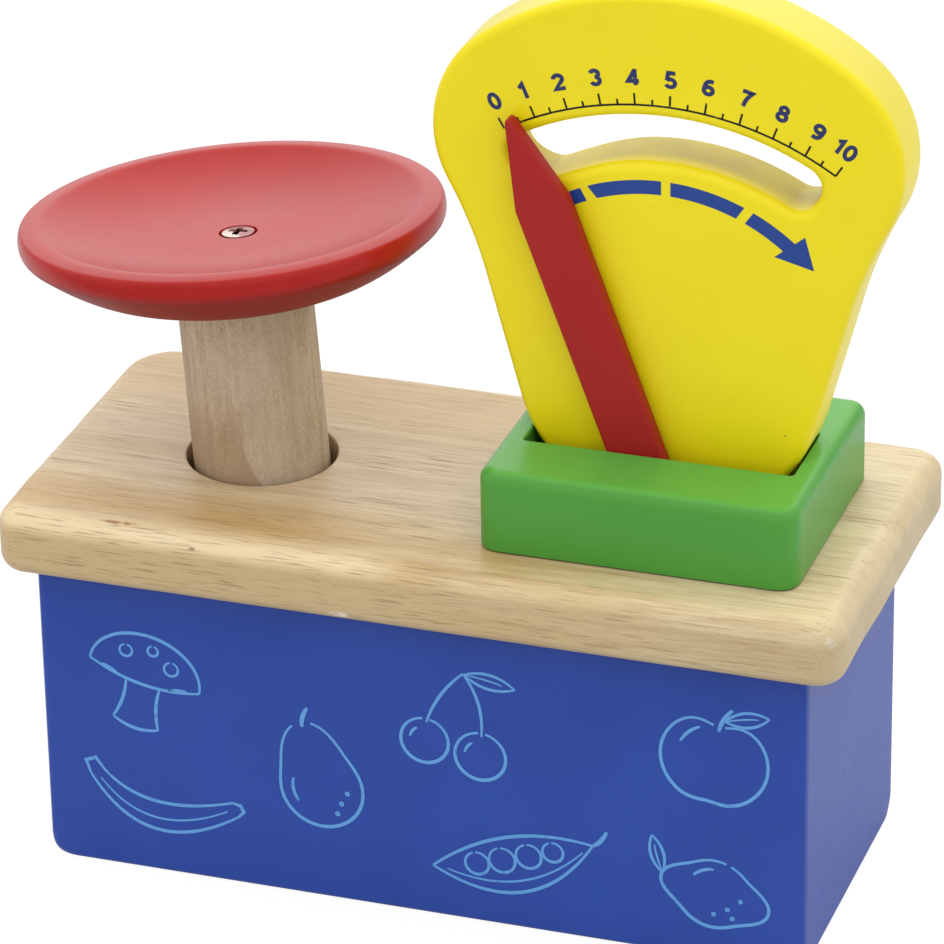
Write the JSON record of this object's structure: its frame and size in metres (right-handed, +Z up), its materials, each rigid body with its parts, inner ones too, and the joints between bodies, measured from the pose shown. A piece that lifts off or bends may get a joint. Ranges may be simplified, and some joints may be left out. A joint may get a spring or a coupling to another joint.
{
  "type": "toy kitchen scale",
  "caption": "Wooden toy kitchen scale: pressing the round pan down sinks its post and a slotted bar in the box swings the pointer across the curved dial.",
  "frame": {"origin": "on the floor, under the middle of the top board", "axes": "+X to the right along the front, from the pan to the dial; +Y to the back, away from the dial's face; +Z up"},
  "size_m": [0.2297, 0.1081, 0.2432],
  "materials": {
    "bare_wood": "clear matt lacquer on pale rubberwood",
    "post_wood": "sanded bare wood",
    "inner_wood": "sanded bare wood, inside the box",
    "blue_paint": "satin blue paint on wood",
    "red_paint": "gloss red paint on turned wood",
    "pointer_paint": "satin red paint on plywood",
    "yellow_paint": "satin yellow paint on wood",
    "green_paint": "satin green paint on wood",
    "steel": "bright zinc"
  },
  "bodies": {
    "case": {"top_board": "bare_wood", "bottom_panel": "inner_wood", "front_cleat": "inner_wood", "back_cleat": "inner_wood", "board_dowel_1": "inner_wood", "board_dowel_2": "inner_wood", "board_dowel_3": "inner_wood", "board_dowel_4": "inner_wood", "guide_dowel_1": "inner_wood", "guide_dowel_2": "inner_wood", "spring_peg": "inner_wood", "front_wall": "blue_paint", "back_wall": "blue_paint", "left_wall": "blue_paint", "right_wall": "blue_paint", "dial_board": "yellow_paint", "dial_block": "green_paint", "bottom_screw_1": "steel", "bottom_screw_2": "steel", "bottom_screw_3": "steel", "bottom_screw_4": "steel", "block_screw_1": "steel", "block_screw_2": "steel", "dial_screw_1": "steel", "dial_screw_2": "steel", "pivot_pin": "steel", "return_spring": "steel"},
    "post": {"post": "post_wood", "weighing_pan": "red_paint", "pan_screw": "steel", "stop_pin": "inner_wood"},
    "lift": {"lift_platform": "inner_wood", "cam_bar": "inner_wood", "cam_bar_screw_1": "steel", "cam_bar_screw_2": "steel"},
    "pointer": {"pointer": "pointer_paint", "drive_pin": "steel"}
  },
  "joints": [
    {"name": "post_slide", "type": "slide", "parent": "case", "child": "post", "axis": [0.0922, -0.0593, -0.994], "range_m": [0, 0.022], "stiffness_N_per_m": 400, "springref_m": -0.012},
    {"name": "lift_slide", "type": "slide", "parent": "case", "child": "lift", "axis": [0, 0, -1], "range_m": [0, 0.022], "deforming": ["return_spring"]},
    {"name": "pointer_turn", "type": "hinge", "parent": "case", "child": "pointer", "pos_m": [0.0536, -0.0137, 0.1075], "axis": [0, 1, 0], "range_deg": [0, 44.1]}
  ],
  "couplings": [
    {"joint": "lift_slide", "follows": "post_slide", "ratio": 0.99397},
    {"joint": "pointer_turn", "follows": "post_slide", "rad_per_m": 34.907}
  ]
}
